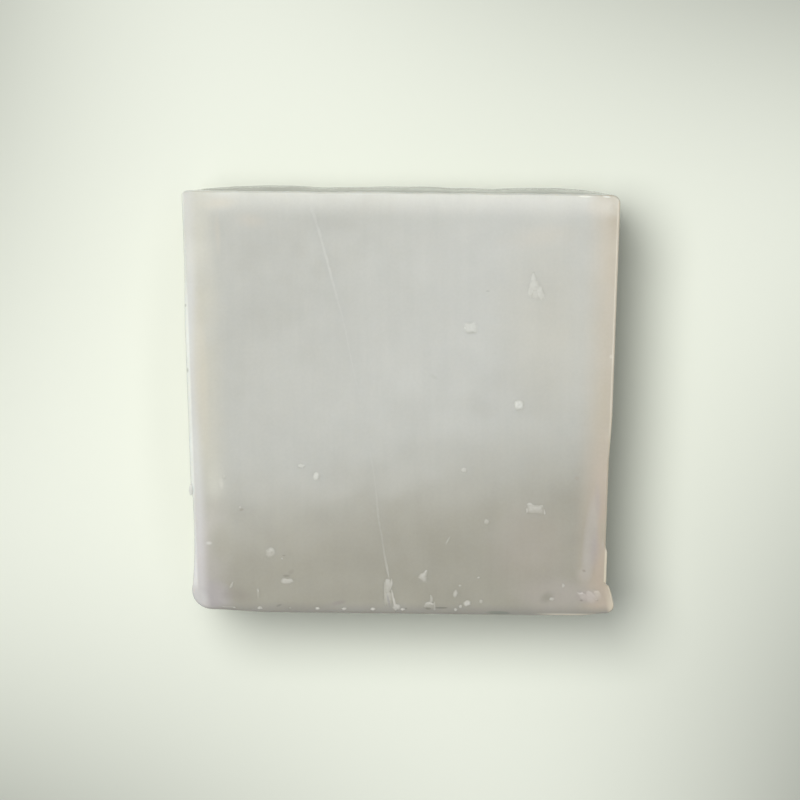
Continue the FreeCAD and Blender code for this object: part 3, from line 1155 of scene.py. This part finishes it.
@dataclass
class MarkSheet:
    """A mesh under construction that holds marks of one kind, with how dry and pale each point is."""

    name: str
    slice_: Slice
    bm: bmesh.types.BMesh = field(init=False)
    dryness: bmesh.types.BMLayerItem = field(init=False)

    def __post_init__(self) -> None:
        """Starts the mesh."""
        self.bm = bmesh.new()
        self.dryness = self.bm.verts.layers.float.new(DRYNESS)

    def ball(self, segments: int, rings: int) -> list[bmesh.types.BMVert]:
        """Adds a ball of radius 1, for a mark to be pressed from, and gives its points."""
        made = bmesh.ops.create_uvsphere(self.bm, u_segments=segments, v_segments=rings, radius=1.0)
        return made["verts"]

    def settle(self, vert: bmesh.types.BMVert, x: float, y: float, lift: float, dry: float) -> None:
        """Moves a point to its place over or under the upper cut face.

        Args:
            vert: The point.
            x: Its place along X.
            y: Its place along Y.
            lift: Its height over the face.
            dry: How dry and pale it is, 0 to 1.
        """
        vert.co = (x, y, self.slice_.top(x, y) + lift)
        vert[self.dryness] = dry

    def finish(self) -> bpy.types.Object:
        """Turns the marks into one object."""
        return finish_mesh(self.bm, self.name)


@dataclass
class Crumb:
    """A crumb of soap stuck to the upper cut face, highest and palest in its middle."""

    x: float
    y: float
    length: float
    width: float
    turn_deg: float = 0.0
    dry: float = 0.5
    height: float = 0.08
    taper: float = 0.0
    squareness: float = 0.0
    rough: float = 0.25
    rings: int = 18
    segments: int = 28
    sink: float = 0.12
    spread: float = 1.14
    coarse_rag: float = 0.9
    fine_rag: float = 0.35
    fine_share: float = 0.6
    round_power: float = 2.0
    square_power: float = 6.0
    bumps: Lumps = Lumps(0.5, 11.0, 0.35)
    patches: Lumps = Lumps(0.4, 12.0, 0.4)
    patch_level: float = 0.85
    height_ease: float = 0.7
    dry_ease: float = 0.6

    def reach(self, along: float, across: float) -> float:
        """Gives how far the crumb's rim lies out in one direction, next to a round crumb's.

        Args:
            along: The direction's part along the crumb.
            across: The direction's part across the crumb.

        Returns:
            The reach, about 1.
        """
        power = self.round_power + self.square_power * self.squareness
        square = (abs(along) ** power + abs(across) ** power) ** (-1.0 / power)
        way = Vector((along, across, 0.0))
        seed = self.x + SEED_PER_Y * self.y
        ragged = lumpy(way, self.coarse_rag, seed) + self.fine_share * lumpy(way, self.fine_rag, seed)
        return self.spread * square * (1.0 + self.rough * ragged)

    def press(self, vert: bmesh.types.BMVert, sheet: MarkSheet) -> None:
        """Moves a point of a ball to its place on the crumb, whose lower half is buried.

        Args:
            vert: The point.
            sheet: The mesh that the crumb goes to.
        """
        buried = vert.co.z < BURIED
        share = math.atan2(math.hypot(vert.co.x, vert.co.y), abs(vert.co.z)) / (math.pi / 2.0)
        turn = math.atan2(vert.co.y, vert.co.x)
        reach = share * self.reach(math.cos(turn), math.sin(turn))
        along = reach * math.cos(turn) * self.length / 2.0
        across = reach * math.sin(turn) * self.width / 2.0 * (1.0 - self.taper * reach * math.cos(turn))
        way = math.radians(self.turn_deg)
        x = self.x + along * math.cos(way) - across * math.sin(way)
        y = self.y + along * math.sin(way) + across * math.cos(way)
        if buried:
            sheet.settle(vert, x, y, -MARK_SINK - self.sink * (1.0 - share), 0.0)
            return
        here = Vector((x, y, 0.0))
        lift = self.height * smooth((1.0 - share) / self.height_ease) * (1.0 + self.bumps.at(here))
        dry = self.dry * smooth((1.0 - share) / self.dry_ease) * (self.patch_level + self.patches.at(here))
        sheet.settle(vert, x, y, lift - MARK_SINK, dry)

    def add_to(self, sheet: MarkSheet) -> None:
        """Adds the crumb to a mesh."""
        for vert in sheet.ball(self.segments, self.rings):
            self.press(vert, sheet)


@dataclass
class Streak:
    """A fine raised streak along a few points: a torn edge, a scuff or the line that the wire dragged."""

    points: tuple[tuple[float, float], ...]
    widths: tuple[float, ...]
    dryness: tuple[float, ...]
    height: float = 0.05
    wander: float = 0.05
    step: float = 0.25
    fewest_rings: int = 8
    segments: int = 12
    sink: float = 0.1
    blunt: float = 4.0
    look_ahead: float = 0.01
    rag: Lumps = Lumps(0.7, 13.0, 1.0)
    rag_width: float = 0.35
    rag_dry: float = 0.4

    def at(self, values: tuple[float, ...], place: float) -> float:
        """Reads one of the streak's rows of values part of the way along it.

        Args:
            values: The row of values.
            place: Share of the way along the streak.

        Returns:
            The value there.
        """
        spot = place * (len(values) - 1)
        k = min(int(spot), len(values) - 2)
        return values[k] + (values[k + 1] - values[k]) * smooth(spot - k)

    def middle(self, place: float) -> Vector:
        """Gives a point of the streak's middle line, which runs smoothly through its points.

        Args:
            place: Share of the way along the streak.

        Returns:
            The point.
        """
        spot = min(1.0, max(0.0, place)) * (len(self.points) - 1)
        k = min(int(spot), len(self.points) - 2)
        t = spot - k
        last = len(self.points) - 1
        a, b, c, d = (Vector(self.points[min(max(k + step, 0), last)]) for step in (-1, 0, 1, 2))
        return 0.5 * (2.0 * b + (c - a) * t + (2.0 * a - 5.0 * b + 4.0 * c - d) * t * t
                      + (3.0 * b - a - 3.0 * c + d) * t ** 3)

    def draw_out(self, vert: bmesh.types.BMVert, sheet: MarkSheet) -> None:
        """Moves a point of a ball to its place on the streak, whose lower half is buried.

        Args:
            vert: The point.
            sheet: The mesh that the streak goes to.
        """
        buried = vert.co.y < BURIED
        place = math.acos(min(1.0, max(-1.0, vert.co.z))) / math.pi
        girth = min(1.0, self.blunt * math.hypot(vert.co.x, vert.co.y))
        aside = girth * math.cos(math.atan2(vert.co.y, vert.co.x))
        here = self.middle(place)
        run = self.middle(place + self.look_ahead) - self.middle(place - self.look_ahead)
        across = Vector((-run.y, run.x)).normalized()
        ragged = self.rag.at(Vector((here.x, here.y, 0.0)))
        half = self.at(self.widths, place) / 2.0 * (1.0 + self.rag_width * ragged)
        spot = here + across * (self.wander * ragged + aside * half)
        crest = 1.0 - aside * aside
        if buried:
            sheet.settle(vert, spot.x, spot.y, -MARK_SINK - self.sink * crest, 0.0)
            return
        dry = self.at(self.dryness, place) * (1.0 + self.rag_dry * ragged)
        sheet.settle(vert, spot.x, spot.y, crest * self.height - MARK_SINK, crest * dry)

    def add_to(self, sheet: MarkSheet) -> None:
        """Adds the streak to a mesh.

        Args:
            sheet: The mesh.
        """
        length = sum((Vector(b) - Vector(a)).length for a, b in zip(self.points, self.points[1:]))
        for vert in sheet.ball(self.segments, max(self.fewest_rings, round(length / self.step))):
            self.draw_out(vert, sheet)


@dataclass
class SoapBar:
    """The whole bar: the slice, and what is stuck to or torn from its upper face."""

    slice_: Slice = field(default_factory=Slice)
    soap: SoapFinish = field(default_factory=SoapFinish)
    rim_crumb_inset: float = 0.75
    rim_crumb_shape: float = 0.6

    def keep(self, piece: bpy.types.Object, material: bpy.types.Material) -> None:
        """Gives a piece its material and body, and reports it.

        Args:
            piece: The finished piece.
            material: Its material.
        """
        piece.data.materials.append(material)
        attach(piece, BODY)
        log.info("%s: %d faces", piece.name, len(piece.data.polygons))

    def crumbs(self) -> list[Crumb | Streak]:
        """Lists the crumbs, flakes and curls on the face.

        Returns:
            The marks.
        """
        return [
            Crumb(21.7, 17.6, 2.6, 2.2, 100.0, 0.2, 0.03),
            Crumb(21.5, 18.6, 2.1, 2.0, 90.0, 0.5, 0.05, rough=0.15),
            Crumb(21.0, 17.9, 2.5, 1.15, 82.0, 0.4, 0.04),
            Crumb(22.4, 17.5, 3.1, 1.4, 109.0, 0.45, 0.04),
            Streak(((21.4, 20.8), (21.35, 19.8), (21.5, 18.8)), (0.4, 1.0, 1.6), (0.3, 0.45, 0.3), 0.02),
            Crumb(11.2, 11.8, 2.3, 2.1, 10.0, 0.45, 0.06, squareness=0.4),
            Crumb(10.4, 11.8, 0.5, 0.4, 0.0, 0.8, 0.06),
            Crumb(19.05, -0.6, 1.7, 1.6, 0.0, 1.0, 0.1, squareness=0.2),
            Crumb(-16.0, -10.4, 1.3, 0.75, 0.0, 0.6, 0.05),
            Crumb(-13.6, -12.1, 1.5, 1.15, 80.0, 0.85, 0.07, rough=0.1),
            Crumb(10.2, -11.1, 1.1, 1.0, 0.0, 0.55, 0.05),
            Crumb(21.8, -17.5, 2.75, 1.5, -3.0, 0.42, 0.08, squareness=0.9, rough=0.12),
            Streak(((20.4, -16.7), (20.8, -16.6), (21.8, -16.95), (23.2, -16.85)), (0.4, 0.5, 0.3, 0.3),
                   (0.6, 0.8, 0.4, 0.5), 0.04),
            Streak(((23.15, -17.4), (23.25, -18.3)), (0.3, 0.35), (0.4, 0.6), 0.04),
            Crumb(20.4, -17.6, 0.5, 1.0, 0.0, 0.7, 0.07),
            Crumb(13.9, -19.5, 0.95, 1.0, 30.0, 0.48, 0.06),
            Crumb(7.65, -22.5, 1.7, 0.4, 62.0, 0.3, 0.04),
            Crumb(-21.0, -24.5, 1.9, 1.8, 10.0, 0.32, 0.05),
            Crumb(-19.1, -25.4, 0.4, 0.4, 0.0, 0.7, 0.05),
            Crumb(-18.3, -29.1, 1.9, 0.9, -8.0, 0.48, 0.07, 0.1, 0.6),
            Crumb(3.6, -28.4, 1.7, 1.6, 175.0, 0.5, 0.09, 0.7, 0.2, 0.3),
            Crumb(8.85, -31.1, 1.3, 0.8, 85.0, 0.5, 0.08),
            Crumb(9.6, -29.8, 0.5, 0.4, 0.0, 0.5, 0.05),
            Crumb(10.75, -32.7, 1.3, 1.0, 10.0, 0.95, 0.12),
            Crumb(9.7, -33.2, 0.7, 0.6, 20.0, 0.8, 0.08),
            Crumb(8.9, -33.7, 0.6, 0.5, 0.0, 0.75, 0.06),
            Crumb(13.0, -32.4, 0.7, 0.8, 0.0, 0.4, 0.06),
            Crumb(12.6, -28.5, 0.5, 0.4, 0.0, 0.55, 0.05),
            Crumb(24.4, -32.0, 0.9, 0.65, 10.0, 0.45, 0.06),
            Crumb(26.3, -29.8, 0.6, 0.7, 0.0, 0.5, 0.05, 0.5),
            Crumb(-33.75, -14.3, 1.4, 0.6, 90.0, 1.0, 0.12),
            Crumb(-25.9, -17.1, 0.5, 0.4, 0.0, 0.4, 0.04),
            Crumb(-28.4, -12.2, 0.6, 1.1, 20.0, 0.16, 0.05),
            Crumb(-27.3, -29.8, 0.55, 1.4, -25.0, 0.32, 0.05),
            Crumb(-23.0, -31.1, 0.5, 2.0, 0.0, 0.1, 0.03),
            Crumb(29.3, -31.5, 2.0, 1.3, -40.0, 0.1, 0.03, rough=0.4),
            Crumb(30.7, -31.6, 2.4, 1.9, -50.0, 0.12, 0.03, rough=0.4),
            Crumb(31.8, -31.3, 2.0, 1.2, -60.0, 0.14, 0.03, rough=0.4),
        ]

    def rim_crumbs(self) -> list[Crumb]:
        """Lists the small crumbs that sit in a row along the mould-floor rim.

        Returns:
            The marks.
        """
        rows = ((-26.8, 0.5, 0.6), (-22.7, 0.9, 0.8), (-17.8, 0.5, 0.35), (-13.4, 0.85, 0.9),
                (-9.1, 0.85, 0.85), (-4.5, 0.9, 0.95), (0.35, 0.8, 0.85))
        inset = self.slice_.floor_line + self.rim_crumb_inset
        return [Crumb(x, self.slice_.floor_slant(x) + inset, size, self.rim_crumb_shape * size, dry=dry)
                for x, size, dry in rows]

    def torn_flaps(self) -> list[Crumb | Streak]:
        """Lists the flaps that tore where the wire came out, and the forked flake beside them.

        Returns:
            The marks.
        """
        return [
            Crumb(-2.0, -30.0, 2.9, 1.3, 84.0, 0.42, 0.06, -0.2),
            Crumb(-2.0, -32.0, 2.6, 1.4, 88.0, 0.22, 0.05),
            Streak(((-2.5, -29.2), (-2.5, -31.0), (-2.4, -33.2)), (0.3, 0.4, 0.3), (0.3, 0.3, 0.12), 0.03),
            Streak(((-1.4, -28.6), (-1.5, -29.6), (-1.8, -30.8)), (0.2, 0.5, 0.2), (0.4, 0.55, 0.25), 0.04),
            Streak(((-1.45, -30.4), (-1.2, -31.6), (-1.0, -32.6), (-0.7, -33.9)), (0.3, 0.45, 0.45, 0.6),
                   (0.4, 0.85, 0.65, 0.85), 0.05),
            Crumb(-0.65, -33.3, 1.4, 1.0, 0.0, 0.6, 0.07),
            Streak(((4.8, -31.2), (5.0, -32.2), (4.6, -33.2)), (0.3, 0.6, 0.6), (0.2, 0.28, 0.25), 0.03),
            Streak(((3.8, -33.4), (4.4, -32.7), (5.2, -32.5)), (0.5, 0.7, 0.4), (0.2, 0.28, 0.25), 0.03),
            Streak(((5.5, -32.4), (5.5, -33.8)), (0.3, 0.5), (0.25, 0.25), 0.03),
            Crumb(4.7, -33.0, 1.8, 1.3, 0.0, 0.15, 0.05),
        ]

    def scuffs(self) -> list[Streak]:
        """Lists the pale scuffs by the toe and along the mould-floor edge.

        Returns:
            The marks.
        """
        return [
            Streak(((28.4, -30.8), (29.4, -31.8)), (0.4, 0.5), (0.1, 0.08), 0.012),
            Streak(((29.2, -30.9), (30.6, -32.3)), (0.5, 0.5), (0.14, 0.08), 0.012),
            Streak(((30.2, -30.7), (31.8, -32.3)), (0.5, 0.6), (0.1, 0.12), 0.012),
            Streak(((31.3, -30.6), (32.3, -31.7)), (0.4, 0.6), (0.14, 0.1), 0.012),
            Streak(((-28.8, -33.2), (-26.6, -33.3)), (0.2, 0.2), (0.4, 0.3), 0.02),
        ]

    def wire_ridge(self) -> list[Streak]:
        """Gives the fine line that the cutting wire dragged down the face, faint halfway.

        Returns:
            The marks.
        """
        path = ((-14.8, 32.2), (-13.7, 29.3), (-12.3, 24.5), (-11.0, 19.6), (-10.0, 15.9), (-9.2, 13.0),
                (-8.0, 7.2), (-7.3, 3.8), (-6.5, 0.6), (-5.9, -4.2), (-5.2, -6.6), (-4.1, -13.2),
                (-3.6, -18.5), (-3.0, -21.9), (-2.5, -25.3), (-1.8, -28.8))
        widths = (0.9, 1.0, 1.0, 0.9, 0.7, 0.6, 0.6, 0.5, 0.4, 0.4, 0.4, 0.6, 0.8, 0.7, 0.75, 0.9)
        dryness = (0.02, 0.09, 0.11, 0.11, 0.08, 0.06, 0.08, 0.04,
                   0.01, 0.01, 0.01, 0.08, 0.15, 0.12, 0.14, 0.3)
        return [Streak(path, widths, dryness, 0.01, 0.06)]

    def build(self) -> None:
        """Makes every piece of the bar."""
        body = self.slice_.build()
        self.keep(body, self.soap.material("cut_soap", self.soap.subsurface))
        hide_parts(NODE)
        dry_soap = self.soap.material("dry_soap", 0.0)
        marks = {
            "wire_ridge": self.wire_ridge(),
            "torn_flaps": self.torn_flaps(),
            "crumbs": self.crumbs(),
            "rim_crumbs": self.rim_crumbs(),
            "scuffs": self.scuffs(),
        }
        for name, members in marks.items():
            sheet = MarkSheet(name, self.slice_)
            for mark in members:
                mark.add_to(sheet)
            self.keep(sheet.finish(), dry_soap)


@dataclass(frozen=True)
class Lamp:
    """A flat soft lamp that hangs level over the bar."""

    name: str
    x: float
    y: float
    length: float
    width: float
    radiance: float
    colour: tuple[float, float, float]
    mirrored: bool
    shape: str = "RECTANGLE"
    turn_deg: float = 0.0
    z: float = 525.0

    def build(self) -> None:
        """Hangs the lamp."""
        data = bpy.data.lights.new(self.name, "AREA")
        data.shape = self.shape
        data.size = self.length * MM
        data.size_y = self.width * MM
        data.color = self.colour
        filled = math.pi / 4.0 if self.shape == "ELLIPSE" else 1.0
        data.energy = self.radiance * math.pi * data.size * data.size_y * filled
        lamp = bpy.data.objects.new(self.name, data)
        lamp.location = Vector((self.x, self.y, self.z)) * MM
        lamp.rotation_euler = (0.0, 0.0, math.radians(self.turn_deg))
        lamp.visible_camera = False
        lamp.visible_glossy = self.mirrored
        lamp.visible_diffuse = not self.mirrored
        bpy.context.scene.collection.objects.link(lamp)


@dataclass(frozen=True)
class Studio:
    """The pale floor, the soft light and the camera."""

    floor_size: float = 3000.0
    floor_tint: Linear = (0.966, 1.0, 0.896, 1.0)
    floor_level: float = 0.97
    floor_least: float = 0.4
    floor_roughness: float = 0.9
    # Painted pool of light on the floor: turned pale arms, darker far out, tilted against the key lamp.
    arm_turn_deg: float = 20.0
    arm_middle: float = -8.0
    arm_spread: float = 7000.0
    arm_depth: float = 0.424
    fall_per_square: float = -1.94e-5
    tilt_per_metre: tuple[float, float] = (0.93, -0.61)
    # Painted shadows on the floor left of and below the bar: depth, then the oval's place and size.
    painted_floor_shadows: tuple[tuple[float, ...], ...] = (
        (-0.05, -36.0, 0.0, 20.0, 88.0),
        (-0.045, 4.0, -37.0, 76.0, 16.0),
    )
    room_walls: Screen = (196, 200, 188)
    fill_tint: Linear = (0.98, 1.0, 1.0, 1.0)
    fill_strength: float = 0.26
    key: Lamp = Lamp("key_lamp", -129.6, 117.3, 288.0, 354.0, 10.27, (1.0, 1.0, 0.98), False,
                     "ELLIPSE", 17.0)
    panel: Lamp = Lamp("overhead_panel", 0.0, 30.0, 230.0, 170.0, 4.6, (0.96, 1.0, 1.04), True,
                       turn_deg=8.3)
    camera_at: tuple[float, float, float] = (-0.08, 25.15, 475.0)
    aim_at: tuple[float, float, float] = (-0.08, 0.2, 25.0)
    lens: float = 126.15
    sensor: float = 36.0
    nearest: float = 10.0

    def floor(self) -> bpy.types.Object:
        """Makes the floor.

        Returns:
            The floor.
        """
        bm = bmesh.new()
        bmesh.ops.create_grid(bm, x_segments=2, y_segments=2, size=self.floor_size / 2.0)
        floor = finish_mesh(bm, "floor")
        recipe = Recipe("pale_floor")
        recipe.set(Socket.COLOUR, recipe.mix(1.0, self.floor_tint, self.brightness(recipe), "MULTIPLY"))
        recipe.set(Socket.ROUGHNESS, self.floor_roughness)
        floor.data.materials.append(recipe.material)
        return floor

    def brightness(self, recipe: Recipe) -> Value:
        """Gives the floor's painted light: four pale arms that lie turned, darker between and far out.

        Args:
            recipe: The material under construction.

        Returns:
            The brightness.
        """
        turned = recipe.add("ShaderNodeMapping", vector_type="TEXTURE")
        recipe.feed(turned.inputs["Vector"], recipe.place)
        turned.inputs["Location"].default_value = (self.arm_middle * MM, 0.0, 0.0)
        turned.inputs["Rotation"].default_value = (0.0, 0.0, math.radians(self.arm_turn_deg))
        turned.inputs["Scale"].default_value = (MM, MM, MM)
        arms = recipe.add("ShaderNodeSeparateXYZ")
        recipe.feed(arms.inputs[0], turned.outputs[0])
        spread = recipe.maths("ABSOLUTE", recipe.times(arms.outputs[0], arms.outputs[1]))
        darkest = self.floor_level - self.arm_depth
        level = recipe.ramp(spread, 0.0, self.arm_spread, self.floor_level, darkest)
        reach = recipe.add("ShaderNodeVectorMath", operation="LENGTH")
        recipe.feed(reach.inputs[0], turned.outputs[0])
        far = recipe.maths("POWER", reach.outputs["Value"], 2.0)
        level = recipe.plus(level, recipe.times(far, self.fall_per_square))
        for axis, tilt in enumerate(self.tilt_per_metre):
            level = recipe.plus(level, recipe.times(recipe.axes.outputs[axis], tilt))
        # Painted shadows beside the bar.
        for depth, *oval in self.painted_floor_shadows:
            level = recipe.plus(level, recipe.times(recipe.patch(*oval), depth))
        return recipe.maths("MAXIMUM", level, self.floor_least)

    def world(self) -> None:
        """Fills the room with even light, and shows pale walls to the camera."""
        world = bpy.data.worlds.new("room")
        bpy.context.scene.world = world
        world.use_nodes = True
        tree = world.node_tree
        tree.nodes.clear()
        output = tree.nodes.new("ShaderNodeOutputWorld")
        path = tree.nodes.new("ShaderNodeLightPath")
        mixer = tree.nodes.new("ShaderNodeMixShader")
        seen = tree.nodes.new("ShaderNodeBackground")
        fill = tree.nodes.new("ShaderNodeBackground")
        seen.inputs["Color"].default_value = linear(*self.room_walls)
        fill.inputs["Color"].default_value = self.fill_tint
        fill.inputs["Strength"].default_value = self.fill_strength
        tree.links.new(path.outputs["Is Camera Ray"], mixer.inputs[0])
        tree.links.new(fill.outputs[0], mixer.inputs[1])
        tree.links.new(seen.outputs[0], mixer.inputs[2])
        tree.links.new(mixer.outputs[0], output.inputs[0])

    def camera(self) -> None:
        """Sets the camera over the bar, a little towards the poured side, looking down."""
        data = bpy.data.cameras.new("camera")
        data.sensor_width = self.sensor
        data.lens = self.lens
        data.clip_start = self.nearest * MM
        camera = bpy.data.objects.new("camera", data)
        camera.location = Vector(self.camera_at) * MM
        look = Vector(self.aim_at) - Vector(self.camera_at)
        camera.rotation_euler = (math.atan2(look.y, -look.z), 0.0, 0.0)
        bpy.context.scene.collection.objects.link(camera)
        bpy.context.scene.camera = camera

    def build(self) -> None:
        """Makes the floor, the light and the camera."""
        self.floor()
        self.world()
        self.key.build()
        self.panel.build()
        self.camera()
        bpy.context.scene.view_settings.view_transform = "Standard"


def main() -> None:
    """Builds the bar and its studio."""
    logging.basicConfig(level=logging.INFO, format="%(name)s: %(message)s")
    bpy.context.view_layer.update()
    SoapBar().build()
    Studio().build()


if __name__ == "__main__":
    main()
